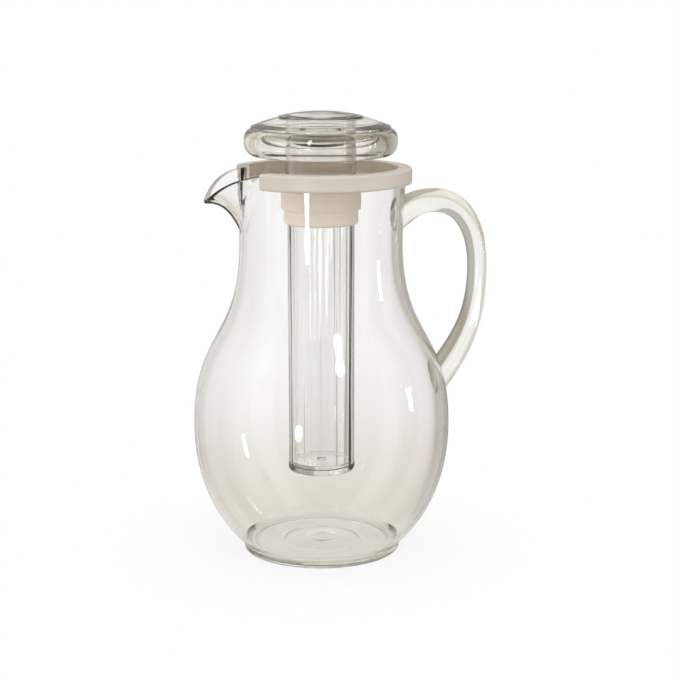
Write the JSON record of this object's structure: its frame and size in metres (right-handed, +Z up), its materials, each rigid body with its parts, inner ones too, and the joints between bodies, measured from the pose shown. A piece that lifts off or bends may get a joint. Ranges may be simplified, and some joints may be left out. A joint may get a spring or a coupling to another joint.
{
  "type": "pitcher with ice core",
  "caption": "Clear pear-shaped pitcher with a turned-down beak and a bar handle; a lid ring on its rim carries a hanging ice tube and a hollow lift-off cap.",
  "frame": {"origin": "on the jug's axis, in the plane that the foot rests on", "axes": "+Z up along the jug's axis; the beak points to -X and the handle to +X"},
  "size_m": [0.1848, 0.157, 0.27],
  "materials": {
    "clear_shell": "clear polished moulding with a faint warm tint",
    "clear_bar": "clear solid bar, polished",
    "ivory_plastic": "ivory moulded plastic, satin",
    "clear_tube": "clear extruded tube, polished",
    "clear_cap": "clear thick moulding with a smoky warm tint"
  },
  "bodies": {
    "jug": {"pitcher_body": "clear_shell", "handle": "clear_bar"},
    "lid": {"lid_ring": "ivory_plastic"},
    "ice_core": {"ice_tube": "clear_tube", "tube_base": "clear_tube"},
    "cap": {"cap_top": "clear_cap", "cap_bowl": "clear_cap"}
  },
  "joints": [
    {"name": "lid_lift", "type": "slide", "parent": "jug", "child": "lid", "axis": [0, 0, 1], "range_m": [0, 0.2]},
    {"name": "core_lift", "type": "slide", "parent": "lid", "child": "ice_core", "axis": [0, 0, 1], "range_m": [0, 0.19]},
    {"name": "cap_lift", "type": "slide", "parent": "ice_core", "child": "cap", "axis": [0, 0, 1], "range_m": [0, 0.04]}
  ]
}
